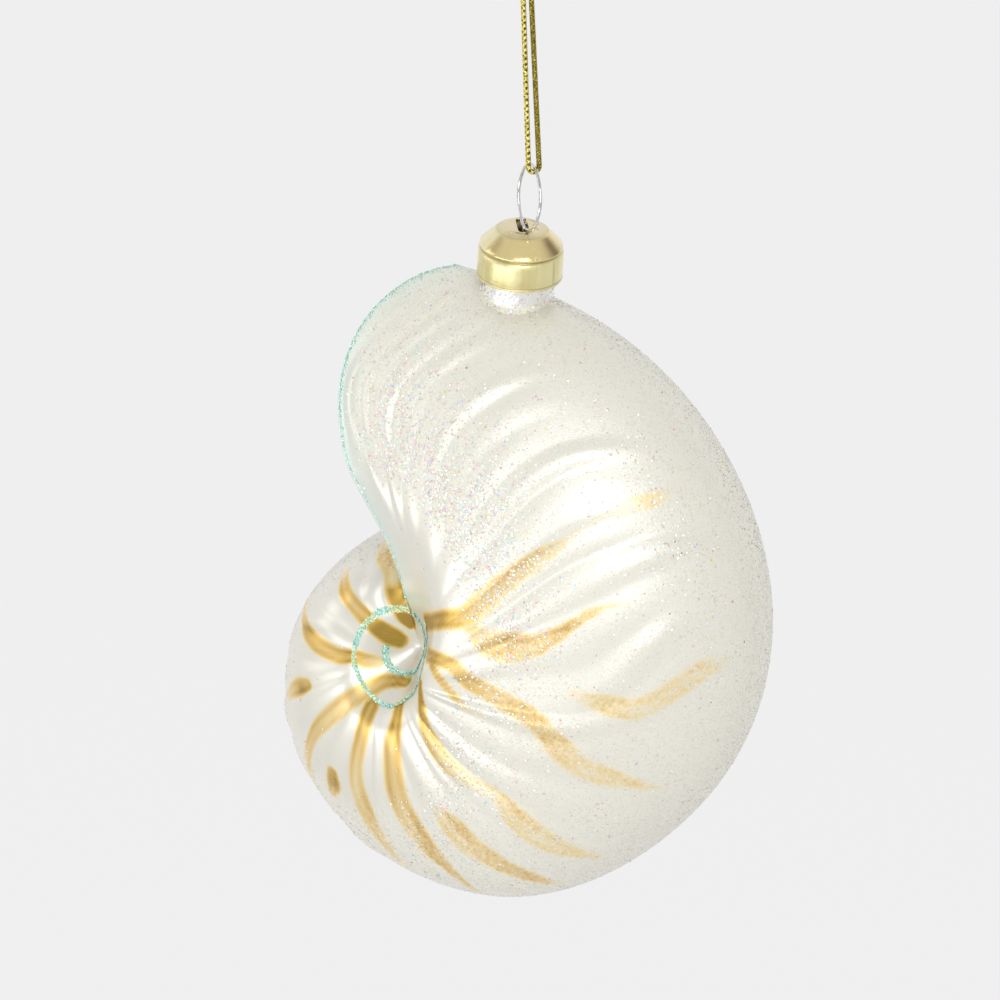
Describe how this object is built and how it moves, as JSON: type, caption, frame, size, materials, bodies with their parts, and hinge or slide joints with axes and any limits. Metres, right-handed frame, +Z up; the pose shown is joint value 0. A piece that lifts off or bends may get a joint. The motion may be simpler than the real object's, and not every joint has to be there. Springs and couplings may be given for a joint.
{
  "type": "nautilus shell glass ornament",
  "caption": "Hanging ornament in mould-blown glass, shaped as a nautilus shell, with a metal cap, a wire ring and a loop of metallic cord.",
  "frame": {"origin": "crown of the cord loop, just under its knot, where a hook carries it", "axes": "+Z up as it hangs; XZ is the shell's plane of symmetry, with the mouth towards -X and the keel towards +X; -Y is square to the decorated flank"},
  "size_m": [0.0926, 0.0676, 0.1974],
  "materials": {
    "shell_finish": "pearl white satin lacquer over silvered glass, with gold strokes, clear glitter and a turquoise glitter edge",
    "cap_metal": "satin, brushed around",
    "hanger_wire": "bright drawn wire",
    "cord_braid": "braided metallic thread"
  },
  "bodies": {
    "root": {"glass_shell": "shell_finish", "cap": "cap_metal", "wire_hanger": "hanger_wire", "cord": "cord_braid", "cord_knot": "cord_braid"}
  },
  "joints": []
}
